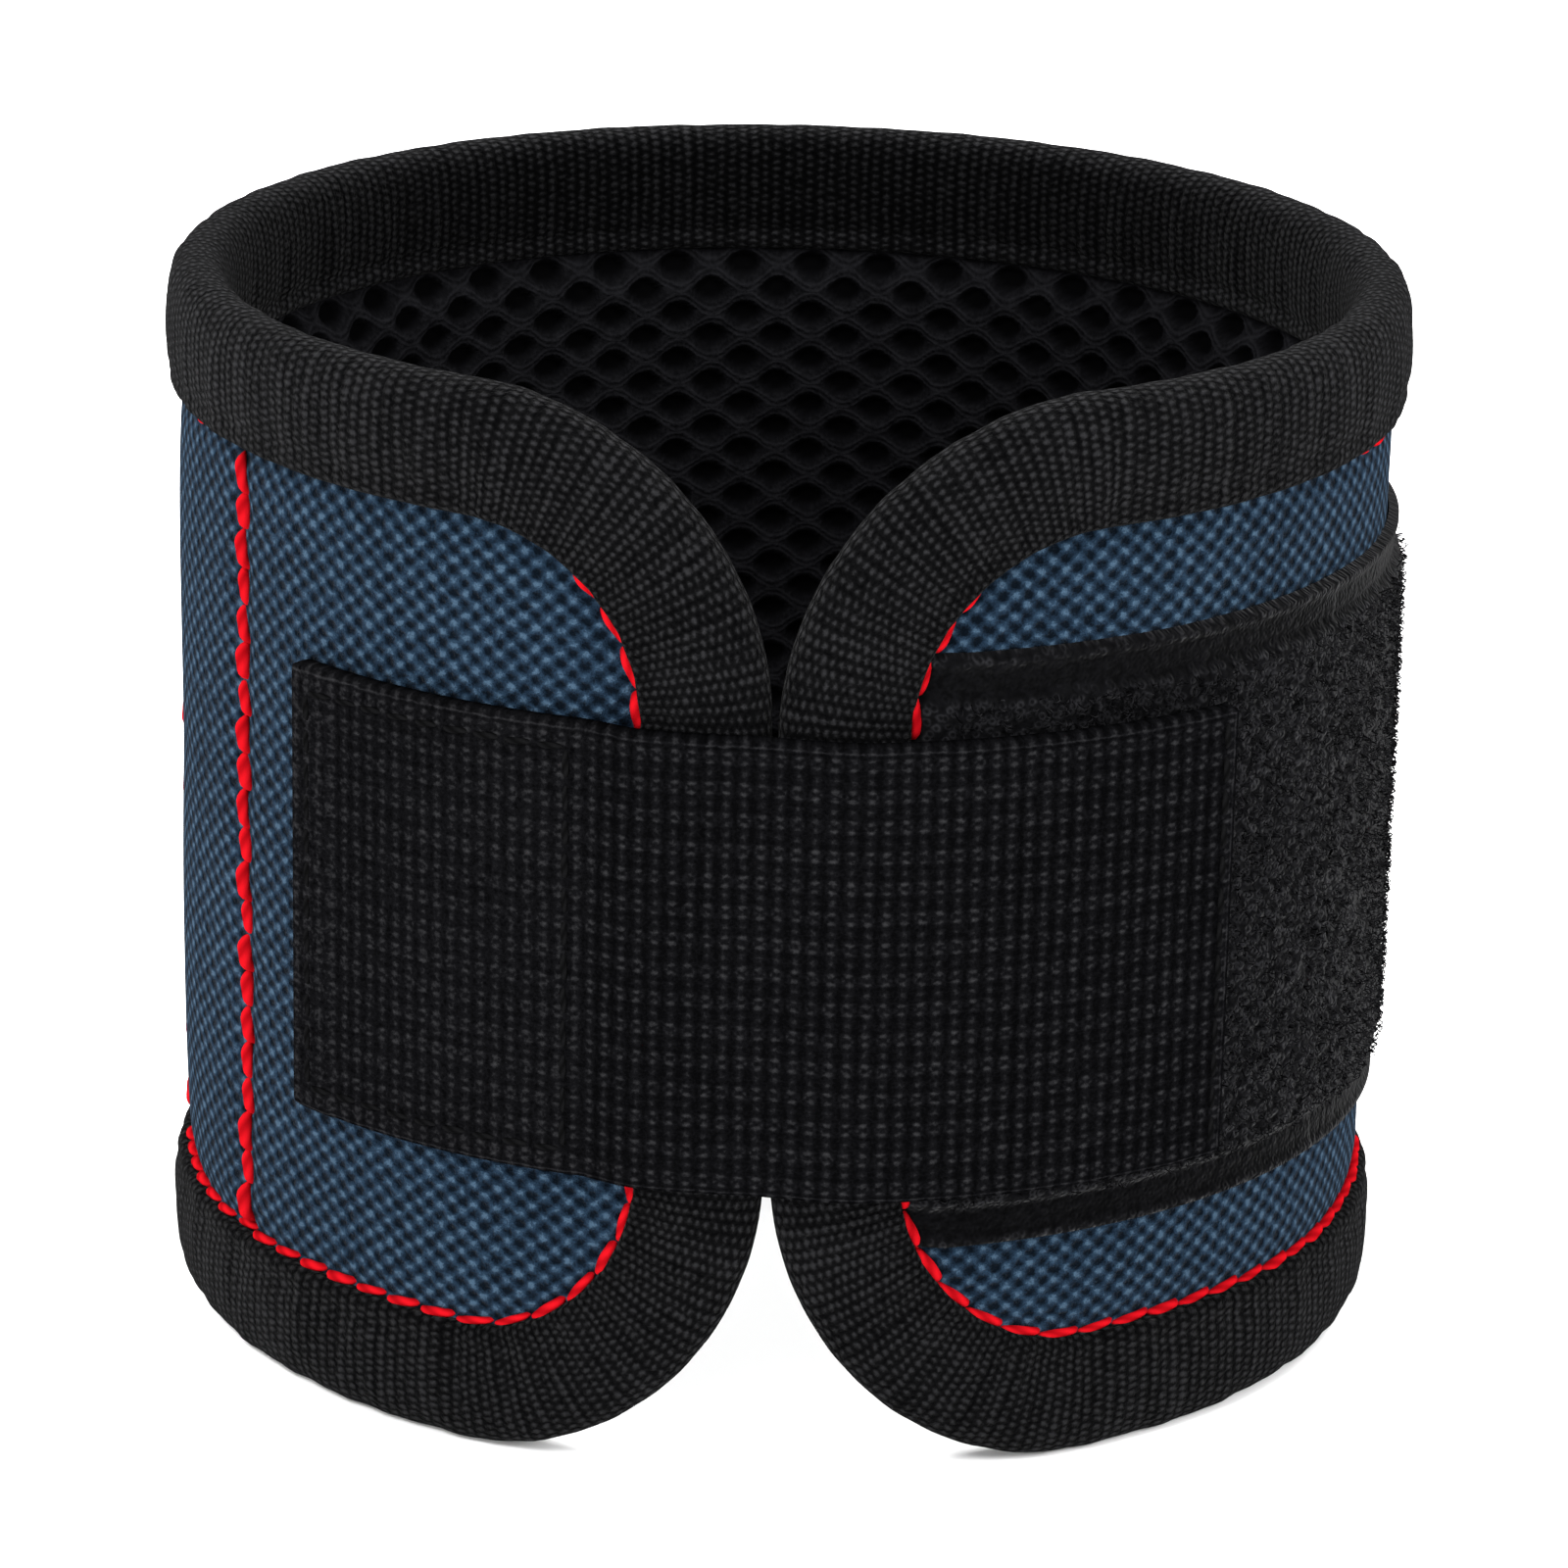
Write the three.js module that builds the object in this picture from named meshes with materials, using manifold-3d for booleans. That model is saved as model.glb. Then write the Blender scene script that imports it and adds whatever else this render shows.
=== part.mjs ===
// A magnetic wristband, closed into a ring with its two rounded ends meeting at the front.
// Millimetres, +Z up. It stands on its lower edge, with the ends and the strap towards -Y.
//
// Every piece is laid out on the flat band and then wrapped round the ring. On the flat band
//   u runs along it, from the tip of the loop end to the tip of the strap end,
//   v runs across it, up from its middle line,
//   d is the depth into it, from the outer face of the edge binding towards the wrist.
// The cloth is in panels, one after the other, that turn about upright folds on their outer face.

import * as THREE from 'three';
import { mergeVertices } from 'three/addons/utils/BufferGeometryUtils.js';
import Module from 'manifold-3d';

const wasm = await Module();
wasm.setup();

// Outline of the flat band
const BAND_LENGTH = 318;
const BAND_WIDTH = 90;
const LOOP_END_RADIUS = 27;
const STRAP_END_RADIUS = 26;

// The closed ring, an ellipse
const RING_ASPECT = 1.05; // width over depth
const TIP_GAP = 0.5; // between the two tips

// Rows of red stitches and the pockets between them
const STRAP_ZONE = 53; // from the strap tip to the nearest row
const POCKET_LENGTHS = [26.9, 29.4, 29.6]; // counted from the strap end
const ROW_TO_FOLD = 2; // from a row to the fold beside it
const STRAP_TO_FOLD = 3; // from the strap's sewn end to the fold before it
const LOOP_ZONE_PANELS = 5; // equal panels from the first row to the loop tip

// Layers of cloth
const LAYER_GAP = 0.3;
const PANEL_GAP = 0.3;
const TAPE_THICKNESS = 0.8; // edge binding
const BINDING_WIDTH = 10.4; // what shows of the binding on either face
const REST_FLAT = 2; // flat along the very edge, which the band stands on
const SHELL_THICKNESS = 0.8;
const POCKET_CROWN = 0.45; // swell of the outer fabric between two rows
const LINING_EDGE = 1.4; // spacer mesh where the binding presses it
const LINING_MIDDLE = 3;
const LINING_TAPER = 3.2; // over which it swells from one to the other

// Loop pad, the soft half of the fastening
const PAD_WIDTH = 50.4;
const PAD_BORDER = 3.4; // woven border without pile
const PAD_BASE = 0.6;
const PAD_PILE = 0.7;
const PAD_TO_ROW = 6.7;

// Strap and hook tape, the other half
const STRAP_WIDTH = 38.4;
const STRAP_THICKNESS = 1.4;
const STRAP_TO_ROW = 10; // from the strap's sewn end back to the nearest row
const STRAP_CLIMB = 2.5; // along which it climbs on to the binding
const STRAP_TAIL = 38; // beyond the strap tip
const TAIL_FOLD = 1; // from the strap tip to the fold in the free strap
const TAIL_RISE = 4; // along which it climbs on to the hook tape
const TAIL_CHAMFER = 1.5;
const HEM_LENGTH = 4;
const HEM_RISE = 0.4;
const HEM_SLOPE = 0.4;
const HOOK_WIDTH = 34;
const HOOK_THICKNESS = 1;
const HOOK_LENGTH = 29;
const HOOK_FROM_END = 3;

// Magnets, three to a pocket
const MAGNET_WIDTH = 10;
const MAGNET_HEIGHT = 18;
const MAGNET_THICKNESS = 1.6;
const MAGNET_CORNER = 1.5;
const MAGNET_SPACING = 2.5;
const MAGNET_DROP = 0.4; // keeps a flat magnet clear of the curved fabric over it

// Red thread
const THREAD_WIDTH = 1.6;
const THREAD_HEIGHT = 0.7;
const STITCH_LENGTH = 4.2;
const STITCH_WAIST = 0.55; // what is left of it where two stitches meet

// Fineness of the facets
const STEP = 6;
const CORNER_STEPS = 9;
const BEND_STEPS = 3;
const INNER_LINE = 0.85;

// Depths of the faces
const shellTop = TAPE_THICKNESS + LAYER_GAP;
const liningTop = shellTop + SHELL_THICKNESS + LAYER_GAP;
const bindingBottom = liningTop + LINING_EDGE + LAYER_GAP + TAPE_THICKNESS;
const bindingCorner = (bindingBottom - REST_FLAT) / 2;
const onShell = shellTop - LAYER_GAP; // underside of what is sewn on the shell
const padBorderTop = onShell - PAD_BASE;
const padTop = padBorderTop - PAD_PILE;
const hookBottom = padTop - LAYER_GAP;
const onBinding = -LAYER_GAP;
const onHook = hookBottom - HOOK_THICKNESS - LAYER_GAP;
const bindingEdge = BINDING_WIDTH + LAYER_GAP; // inset just clear of the binding

// Places along the band
const strapEnd = BAND_LENGTH + STRAP_TAIL;
const tailFold = BAND_LENGTH + TAIL_FOLD;
const climbEnd = endReach(STRAP_END_RADIUS, STRAP_WIDTH / 2) - LAYER_GAP;
const peelFold = climbEnd - STRAP_CLIMB;
const lastRow = BAND_LENGTH - STRAP_ZONE;
const strapStart = lastRow + STRAP_TO_ROW;
const rows = POCKET_LENGTHS.reduce((found, length) => [found[0] - length, ...found], [lastRow]);
const padEnd = rows[0] - PAD_TO_ROW;
const loopZone = rows[0] + ROW_TO_FOLD;
const folds = [
  ...Array.from({ length: LOOP_ZONE_PANELS - 1 }, (_, i) => (loopZone * (i + 1)) / LOOP_ZONE_PANELS),
  ...rows.slice(0, -1).map((u) => u + ROW_TO_FOLD),
  strapStart - STRAP_TO_FOLD,
];
const panels = [0, ...folds].map((fold, i) => ({
  number: i + 1,
  start: i === 0 ? 0 : fold + PANEL_GAP / 2,
  end: i === folds.length ? BAND_LENGTH : folds[i] - PANEL_GAP / 2,
}));
const [loopEnd, ...sides] = panels;
const strapEndPanel = sides.pop();

const cloth = (color) => new THREE.MeshStandardMaterial({ color, roughness: 0.9, metalness: 0 });
const looks = {
  shell: cloth(0x263c56),
  binding: cloth(0x1c1c1e),
  lining: cloth(0x232325),
  loop: cloth(0x0c0c0d),
  webbing: cloth(0x181818),
  hook: cloth(0x101010),
  thread: cloth(0xe41622),
  magnet: new THREE.MeshStandardMaterial({ color: 0xb9bcc0, roughness: 0.3, metalness: 1 }),
};

// The ring starts at the gap between the tips and runs by the right side and the back to the left.
const ringLength = BAND_LENGTH + TIP_GAP;
const ring = ellipse(ringLength / ellipse(1).getLength());

function ellipse(depth) {
  const curve = new THREE.EllipseCurve(0, 0, RING_ASPECT * depth, depth, -Math.PI / 2, 1.5 * Math.PI);
  curve.arcLengthDivisions = 2000;
  return curve;
}

function ringAt(u) {
  const along = (u + TIP_GAP / 2) / ringLength;
  const share = along - Math.floor(along);
  return { point: ring.getPointAt(share), tangent: ring.getTangentAt(share) };
}

function wrap([u, v, d]) {
  const { point, tangent } = ringAt(u);
  return new THREE.Vector3(point.x - tangent.y * d, point.y + tangent.x * d, BAND_WIDTH / 2 + v);
}

// How far along the strap end the binding's inner edge is, at a height v.
function endReach(radius, v) {
  const rise = Math.max(0, v - (BAND_WIDTH / 2 - radius));
  return BAND_LENGTH - radius + Math.sqrt((radius - BINDING_WIDTH) ** 2 - rise ** 2);
}

// Distance from u back from either rounded end's centre, with that end's radius.
function endCorners(u) {
  return [
    [Math.max(0, LOOP_END_RADIUS - u), LOOP_END_RADIUS],
    [Math.max(0, u - BAND_LENGTH + STRAP_END_RADIUS), STRAP_END_RADIUS],
  ];
}

// Half the width of the band at u, drawn in by an inset all round.
function halfWidth(u, inset) {
  const halves = endCorners(u).map(([past, radius]) => {
    const rise = Math.sqrt(Math.max(0, (radius - inset) ** 2 - past ** 2));
    return BAND_WIDTH / 2 - radius + rise;
  });
  return Math.min(...halves);
}

// Distance from a point of the flat band to its edge.
function edgeDistance(u, v) {
  const distances = endCorners(u).map(([past, radius]) => {
    const rise = Math.max(0, Math.abs(v) - (BAND_WIDTH / 2 - radius));
    return radius - Math.hypot(past, rise);
  });
  return Math.min(...distances);
}

function evenly(start, end) {
  const count = Math.ceil(Math.abs(end - start) / STEP);
  return Array.from({ length: count + 1 }, (_, i) => start + ((end - start) * i) / count);
}

function quarterTurn(steps) {
  return Array.from({ length: steps + 1 }, (_, i) => (Math.PI / 2) * (i / steps));
}

// A solid through sections, each a loop of flat points: its outer face, then its inner face back again.
function loft(sections) {
  const count = sections[0].length;
  const last = (sections.length - 1) * count;
  const index = [];
  for (let start = 0; start < last; start += count) {
    for (let i = 0; i < count; i++) {
      const [a, b] = [start + i, start + ((i + 1) % count)];
      index.push(a, b, a + count, b, b + count, a + count);
    }
  }
  for (let i = 0; i + 1 < count / 2; i++) {
    const [a, b, c, d] = [i, i + 1, count - 2 - i, count - 1 - i];
    index.push(a, c, b, a, d, c);
    index.push(last + a, last + b, last + c, last + a, last + c, last + d);
  }
  const points = sections.flat().map(wrap);
  const geometry = new THREE.BufferGeometry().setFromPoints(points);
  geometry.setIndex(volume(points, index) > 0 ? index : index.reverse());
  return geometry;
}

// Negative when the faces point inwards, as they do where a section runs the other way round.
function volume(points, index) {
  let sum = 0;
  for (let i = 0; i < index.length; i += 3) {
    const [a, b, c] = index.slice(i, i + 3).map((k) => points[k]);
    sum += a.dot(b.clone().cross(c)) / 6;
  }
  return sum;
}

// A strip of cloth: across lists values of v at u, and top and bottom are depths at (u, v).
function strip(us, across, top, bottom) {
  const face = (u, depth) => across(u).map((v) => [u, v, depth(u, v)]);
  return loft(us.map((u) => [...face(u, top), ...face(u, bottom).reverse()]));
}

const mirrored = (halves) => [...halves.map((v) => -v), 0, ...halves.toReversed()];

function solid(geometry) {
  const bare = geometry.clone();
  bare.deleteAttribute('normal');
  bare.deleteAttribute('uv');
  const merged = mergeVertices(bare, 1e-4);
  const vertProperties = new Float32Array(merged.attributes.position.array);
  const triVerts = new Uint32Array(merged.index.array);
  return new wasm.Manifold(new wasm.Mesh({ numProp: 3, vertProperties, triVerts }));
}

function geometryOf(manifold) {
  const { vertProperties, triVerts } = manifold.getMesh();
  const geometry = new THREE.BufferGeometry();
  geometry.setAttribute('position', new THREE.BufferAttribute(vertProperties, 3));
  geometry.setIndex(new THREE.BufferAttribute(triVerts, 1));
  return geometry;
}

const band = new THREE.Group();
band.name = 'magnetic_wristband';

function add(name, geometry, material) {
  geometry.computeVertexNormals();
  const mesh = new THREE.Mesh(geometry, material);
  mesh.name = name;
  band.add(mesh);
  return mesh;
}

// Stations along a panel. At a rounded end they crowd towards the tip.
function panelStations(panel, inset) {
  if (panel !== loopEnd && panel !== strapEndPanel) return evenly(panel.start, panel.end);
  const radius = panel === loopEnd ? LOOP_END_RADIUS : STRAP_END_RADIUS;
  const length = panel.end - panel.start;
  const arc = quarterTurn(CORNER_STEPS).map((t) => radius - (radius - inset) * Math.cos(t));
  const straight = length > radius ? evenly(radius, length).slice(1) : [length];
  const rounded = arc.filter((x) => x < length - STEP / 4);
  const fromTip = [...rounded, bindingEdge, ...straight].sort((p, q) => p - q);
  return panel === loopEnd ? fromTip : fromTip.map((x) => BAND_LENGTH - x).reverse();
}

// Lines along the cloth: its edge inside the binding, the binding's own edge, and where the swell is full.
// Near a tip, where there is no room for an inner line, it keeps inside the one before.
function clothAcross(u) {
  const edge = halfWidth(u, bindingCorner);
  const bound = Math.min(halfWidth(u, bindingEdge), INNER_LINE * edge);
  const full = Math.min(halfWidth(u, bindingEdge + LINING_TAPER), INNER_LINE * bound);
  return mirrored([edge, bound, full]);
}

// Outer fabric, swelling in each pocket and drawn down to the rows
function crown(u, v) {
  const next = rows.findIndex((row) => row > u);
  if (next < 1) return 0;
  const share = (u - rows[next - 1]) / (rows[next] - rows[next - 1]);
  const across = v / (BAND_WIDTH / 2 - bindingEdge);
  return POCKET_CROWN * Math.sin(Math.PI * share) * Math.max(0, 1 - across ** 2);
}

for (const panel of panels) {
  const us = panelStations(panel, bindingCorner);
  const top = (u, v) => shellTop - crown(u, v);
  const bottom = (u, v) => top(u, v) + SHELL_THICKNESS;
  add(`shell_${panel.number}`, strip(us, clothAcross, top, bottom), looks.shell);
}

// Magnets, flat bars in a column across each pocket, lying in recesses of the mesh
function magnetShape() {
  const [x, y, r] = [MAGNET_WIDTH / 2, MAGNET_HEIGHT / 2, MAGNET_CORNER];
  const shape = new THREE.Shape();
  shape.absarc(x - r, y - r, r, 0, Math.PI / 2);
  shape.absarc(r - x, y - r, r, Math.PI / 2, Math.PI);
  shape.absarc(r - x, r - y, r, Math.PI, 1.5 * Math.PI);
  shape.absarc(x - r, r - y, r, 1.5 * Math.PI, 2 * Math.PI);
  return shape;
}

const magnetDepth = liningTop + MAGNET_DROP;
const recessDepth = magnetDepth + MAGNET_THICKNESS + LAYER_GAP - shellTop;
const pitch = MAGNET_HEIGHT + MAGNET_SPACING;
const recesses = [];
rows.slice(1).forEach((row, pocket) => {
  const u = (rows[pocket] + row) / 2;
  [1, 0, -1].forEach((place, i) => {
    const bar = new THREE.ExtrudeGeometry(magnetShape(), {
      depth: MAGNET_THICKNESS,
      bevelEnabled: false,
      curveSegments: 3,
    });
    const magnet = add(`magnet_${pocket + 1}_${i + 1}`, bar.rotateX(-Math.PI / 2), looks.magnet);
    const { tangent } = ringAt(u);
    magnet.rotation.z = Math.atan2(tangent.y, tangent.x);
    magnet.position.copy(wrap([u, place * pitch, magnetDepth]));
    magnet.updateMatrix();
    const clear = 2 * LAYER_GAP;
    const room = new THREE.BoxGeometry(MAGNET_WIDTH + clear, recessDepth, MAGNET_HEIGHT + clear);
    room.translate(0, MAGNET_THICKNESS + LAYER_GAP - recessDepth / 2, 0);
    recesses.push({ u, cut: solid(room.applyMatrix4(magnet.matrix)) });
  });
});

// Spacer mesh next to the wrist, pressed thin by the binding and thicker between
function liningBottom(u, v) {
  const share = THREE.MathUtils.smoothstep(edgeDistance(u, v), bindingEdge, bindingEdge + LINING_TAPER);
  return liningTop + LINING_EDGE + (LINING_MIDDLE - LINING_EDGE) * share;
}
for (const panel of panels) {
  const us = panelStations(panel, bindingCorner);
  const mesh = strip(us, clothAcross, () => liningTop, liningBottom);
  const cuts = recesses.filter(({ u }) => u > panel.start && u < panel.end);
  const cut = cuts.reduce((left, recess) => left.subtract(recess.cut), solid(mesh));
  add(`lining_${panel.number}`, geometryOf(cut), looks.lining);
}

// Edge binding, a tape folded over the edge: its section as (inset, depth), outer face then inner face
function foldedTape(offset) {
  const radius = bindingCorner - offset;
  const turn = quarterTurn(BEND_STEPS);
  const near = turn.map((t) => [Math.sin(t), Math.cos(t)].map((side) => bindingCorner - radius * side));
  const far = near.toReversed().map(([inset, d]) => [inset, bindingBottom - d]);
  return [[BINDING_WIDTH, offset], ...near, ...far, [BINDING_WIDTH, bindingBottom - offset]];
}
const tape = [...foldedTape(0), ...foldedTape(TAPE_THICKNESS).reverse()];
const tapeAcross = (u, side) => tape.map(([inset, d]) => [u, side * halfWidth(u, inset), d]);

// Round one end, from a cut across the band above to the same cut below. direction is towards the tip.
function endBinding(tip, cut, radius, direction) {
  const centre = tip - direction * radius;
  const straight = BAND_WIDTH / 2 - radius;
  const turns = quarterTurn(CORNER_STEPS).filter((t) => {
    const innermost = centre + direction * (radius - BINDING_WIDTH) * Math.sin(t);
    return direction * (innermost - cut) > STEP / 4;
  });
  const tapeAround = (t, side) =>
    tape.map(([inset, d]) => {
      const out = (radius - inset) * Math.sin(t);
      const up = (radius - inset) * Math.cos(t);
      return [centre + direction * out, side * (straight + up), d];
    });
  const run = turns[0] === 0 ? evenly(cut, centre).slice(0, -1) : [cut];
  const half = (side) => [...run.map((u) => tapeAcross(u, side)), ...turns.map((t) => tapeAround(t, side))];
  return loft([...half(1), ...half(-1).reverse()]);
}

add('binding_loop_end', endBinding(0, loopEnd.end, LOOP_END_RADIUS, -1), looks.binding);
add('binding_strap_end', endBinding(BAND_LENGTH, strapEndPanel.start, STRAP_END_RADIUS, 1), looks.binding);
for (const panel of sides) {
  const us = evenly(panel.start, panel.end);
  add(`binding_top_${panel.number}`, loft(us.map((u) => tapeAcross(u, 1))), looks.binding);
  add(`binding_bottom_${panel.number}`, loft(us.map((u) => tapeAcross(u, -1))), looks.binding);
}

// Loop pad: pile between two woven borders. Its front end follows the binding.
const pileEdge = 1 - PAD_BORDER / (PAD_WIDTH / 2);
const padHalf = (u) => Math.min(PAD_WIDTH / 2, halfWidth(u, bindingEdge));
const padAcross = (u) => mirrored([1, pileEdge + 0.02, pileEdge].map((share) => share * padHalf(u)));
const padDepth = (u, v) => (Math.abs(v) <= pileEdge * padHalf(u) + 1e-6 ? padTop : padBorderTop);
for (const panel of panels.filter(({ start }) => start < padEnd)) {
  const end = Math.min(panel.end, padEnd);
  const us = panel === loopEnd ? panelStations(panel, bindingEdge).slice(1) : evenly(panel.start, end);
  add(`loop_pad_${panel.number}`, strip(us, padAcross, padDepth, () => onShell), looks.loop);
}

// Rows of red stitches, each stitch plump in the middle
function stitchRow(u) {
  const half = BAND_WIDTH / 2 - bindingEdge;
  const count = Math.round((2 * half) / STITCH_LENGTH);
  const plump = [STITCH_WAIST, 1, 1];
  const angles = [5, 3, 1, -1, -3, -5].map((sixth) => (sixth * Math.PI) / 6);
  const middle = onShell - THREAD_HEIGHT / 2;
  const sections = Array.from({ length: 3 * count + 1 }, (_, i) => {
    const v = -half + (2 * half * i) / (3 * count);
    const size = plump[i % 3] / 2;
    return angles.map((t) => [
      u + Math.cos(t) * size * THREAD_WIDTH,
      v,
      middle - Math.sin(t) * size * THREAD_HEIGHT,
    ]);
  });
  return loft(sections);
}
rows.forEach((u, i) => add(`stitch_row_${i + 1}`, stitchRow(u), looks.thread));

// Strap of webbing: sewn on the shell, over the binding, and on past the tip over the loop pad
function strapBottom(u) {
  const climbed = THREE.MathUtils.clamp((u - peelFold) / STRAP_CLIMB, 0, 1);
  const risen = THREE.MathUtils.clamp((u - tailFold) / TAIL_RISE, 0, 1);
  return onShell + (onBinding - onShell) * climbed + (onHook - onBinding) * risen;
}
function strapTop(u) {
  const fromEnd = Math.min(u - strapStart, strapEnd - u);
  const hem = THREE.MathUtils.clamp((HEM_LENGTH + HEM_SLOPE - fromEnd) / HEM_SLOPE, 0, 1);
  return strapBottom(u) - STRAP_THICKNESS - HEM_RISE * hem;
}
const strapAcross = (u) => mirrored([STRAP_WIDTH / 2 - Math.max(0, TAIL_CHAMFER - (strapEnd - u))]);
const strapPiece = (us) => strip(us, strapAcross, strapTop, strapBottom);

const hemFoot = HEM_LENGTH + HEM_SLOPE;
const root = [
  strapStart,
  strapStart + HEM_LENGTH,
  ...evenly(strapStart + hemFoot, peelFold - PANEL_GAP / 2),
];
const bridge = [peelFold + PANEL_GAP / 2, ...evenly(climbEnd, tailFold - PANEL_GAP / 2)];
const tail = [
  tailFold + PANEL_GAP / 2,
  ...evenly(tailFold + TAIL_RISE, strapEnd - hemFoot),
  strapEnd - HEM_LENGTH,
  strapEnd - TAIL_CHAMFER,
  strapEnd,
];
add('strap_root', strapPiece(root), looks.webbing);
add('strap_bridge', strapPiece(bridge), looks.webbing);
add('strap_tail', strapPiece(tail), looks.webbing);

const hookEnd = strapEnd - HOOK_FROM_END;
const hookStations = evenly(hookEnd - HOOK_LENGTH, hookEnd);
const hookAcross = () => mirrored([HOOK_WIDTH / 2]);
const hookTape = strip(hookStations, hookAcross, () => hookBottom - HOOK_THICKNESS, () => hookBottom);
add('hook_tape', hookTape, looks.hook);

// The frame's origin is under the middle of the closed band.
const box = new THREE.Box3().setFromObject(band);
const middle = box.getCenter(new THREE.Vector3());
band.position.set(-middle.x, -middle.y, -box.min.z);

// Fold lines, for whoever moves the panels: where each stands and which way the band runs there
const foldAt = (u, d) => {
  const { x, y } = wrap([u, 0, d]).add(band.position);
  return { u, x, y };
};
const heading = (u) => {
  const { tangent } = ringAt(u);
  return THREE.MathUtils.radToDeg(Math.atan2(tangent.y, tangent.x));
};
band.userData.folds = [
  ...folds.map((u) => foldAt(u, u < padEnd ? padTop : 0)),
  foldAt(peelFold, strapTop(peelFold)),
  foldAt(tailFold, strapTop(tailFold)),
];
band.userData.headings = [
  ...panels.map(({ start, end }) => heading((start + end) / 2)),
  heading((peelFold + tailFold) / 2),
  heading((tailFold + strapEnd) / 2),
];

export default band;
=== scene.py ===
# A magnetic wristband of cloth, closed into a ring and standing on its lower edge.
# On the flat band lengths are in millimetres: u runs along it from the loop tip to the strap tip, v up
# from its middle line, and d into it from the binding's outer face. wrap() takes them round the ring.

import math

import bpy
import numpy as np
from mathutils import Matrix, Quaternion, Vector


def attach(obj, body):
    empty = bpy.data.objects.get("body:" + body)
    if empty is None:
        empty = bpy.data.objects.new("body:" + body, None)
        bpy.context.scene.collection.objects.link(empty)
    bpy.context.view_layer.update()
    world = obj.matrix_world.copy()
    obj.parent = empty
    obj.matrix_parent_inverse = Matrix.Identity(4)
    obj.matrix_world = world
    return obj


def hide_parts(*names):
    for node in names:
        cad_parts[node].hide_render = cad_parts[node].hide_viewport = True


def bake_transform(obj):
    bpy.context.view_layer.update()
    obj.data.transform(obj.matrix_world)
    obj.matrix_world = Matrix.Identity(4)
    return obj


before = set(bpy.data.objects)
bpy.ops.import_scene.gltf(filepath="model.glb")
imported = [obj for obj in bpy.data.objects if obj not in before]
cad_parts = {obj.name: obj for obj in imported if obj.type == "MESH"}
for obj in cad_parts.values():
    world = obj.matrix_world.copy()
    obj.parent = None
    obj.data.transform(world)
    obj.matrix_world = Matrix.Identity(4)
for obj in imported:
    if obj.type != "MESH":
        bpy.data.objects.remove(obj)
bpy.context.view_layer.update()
chance = np.random.default_rng(7)

# The band, flat and closed
MM = 0.001
LENGTH = 318.0
WIDTH = 90.0
LOOP_RADIUS = 27.0
STRAP_RADIUS = 26.0
RING_ASPECT = 1.05
TIP_GAP = 0.5
RING_SHIFT = (-0.2559, 1.4178)

# Rows of red stitches, the pockets between them and the folds beside them
STRAP_ZONE = 53.0
POCKETS = (29.6, 29.4, 26.9)
ROW_TO_FOLD = 2.0
STRAP_TO_FOLD = 3.0
LOOP_PANELS = 5

# Layers
SHELL_DEPTH = 1.1
LINING_THIN = 3.6
LINING_FULL = 5.2
PAD_HALF = 25.2
PAD_BORDER = 3.4
PAD_TO_ROW = 6.7

# Weaves: distances between knobs of the outer cloth, between ribs and bumps of the binding, between
# holes of the lining and their rows, and between columns and rows of loops on the webbing
KNOBS = (2.15, 1.75)
TAPE_RIB = 1.1
TAPE_BUMP = 0.7
HOLE_PITCH = 6.7
HOLE_ROWS = 2.17
WEBBING_COLUMN = 1.34
WEBBING_ROW = 2.54
LOOPS_PER_MM = 1.25

# How far threads wander from their places
CLOTH_WANDER = 0.26
MESH_WANDER = 0.22
WEBBING_WANDER = 0.16

# Strap and hook tape
STRAP_TO_ROW = 10.0
PEEL_FOLD = 304.8
STRAP_END = 356.0
STRAP_HALF = 19.2
STRAP_THICK = 1.4
HOOK_HALF = 17.0
HOOK_LENGTH = 29.0
HOOK_FROM_END = 3.0

last_row = LENGTH - STRAP_ZONE
rows = [last_row - sum(POCKETS[i:]) for i in range(len(POCKETS) + 1)]
strap_start = last_row + STRAP_TO_ROW
pad_end = rows[0] - PAD_TO_ROW
loop_zone = rows[0] + ROW_TO_FOLD
folds = [loop_zone * i / LOOP_PANELS for i in range(1, LOOP_PANELS)]
folds += [row + ROW_TO_FOLD for row in rows[:-1]]
folds.append(strap_start - STRAP_TO_FOLD)
half = WIDTH / 2
ring_length = LENGTH + TIP_GAP


def smooth(x, low, high):
    t = np.clip((x - low) / (high - low), 0, 1)
    return t * t * (3 - 2 * t)


# The ring is an ellipse, measured along its length from the gap at the front.
RING_POINTS = 20001
turns = np.linspace(-np.pi / 2, 1.5 * np.pi, RING_POINTS)
unit_ring = np.stack([RING_ASPECT * np.cos(turns), np.sin(turns)], -1)
unit_run = np.concatenate([[0], np.cumsum(np.linalg.norm(np.diff(unit_ring, axis=0), axis=1))])
ring_depth = ring_length / unit_run[-1]


def ring_at(u):
    share = ((np.asarray(u, float) + TIP_GAP / 2) / ring_length) % 1
    t = np.interp(share * unit_run[-1], unit_run, turns)
    point = ring_depth * np.stack([RING_ASPECT * np.cos(t), np.sin(t)], -1) + RING_SHIFT
    tangent = np.stack([-RING_ASPECT * np.sin(t), np.cos(t)], -1)
    return point, tangent / np.linalg.norm(tangent, axis=-1, keepdims=True)


def wrap(flat):
    flat = np.asarray(flat, float)
    point, tangent = ring_at(flat[..., 0])
    d = flat[..., 2]
    x = point[..., 0] - tangent[..., 1] * d
    y = point[..., 1] + tangent[..., 0] * d
    return np.stack([x, y, half + flat[..., 1]], -1) * MM


def end_corners(u):
    yield np.maximum(0, LOOP_RADIUS - u), LOOP_RADIUS
    yield np.maximum(0, u - LENGTH + STRAP_RADIUS), STRAP_RADIUS


def half_width(u, inset):
    u = np.asarray(u, float)
    found = [half - r + np.sqrt(np.maximum(0, (r - inset) ** 2 - past**2)) for past, r in end_corners(u)]
    return np.minimum(*found)


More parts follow.
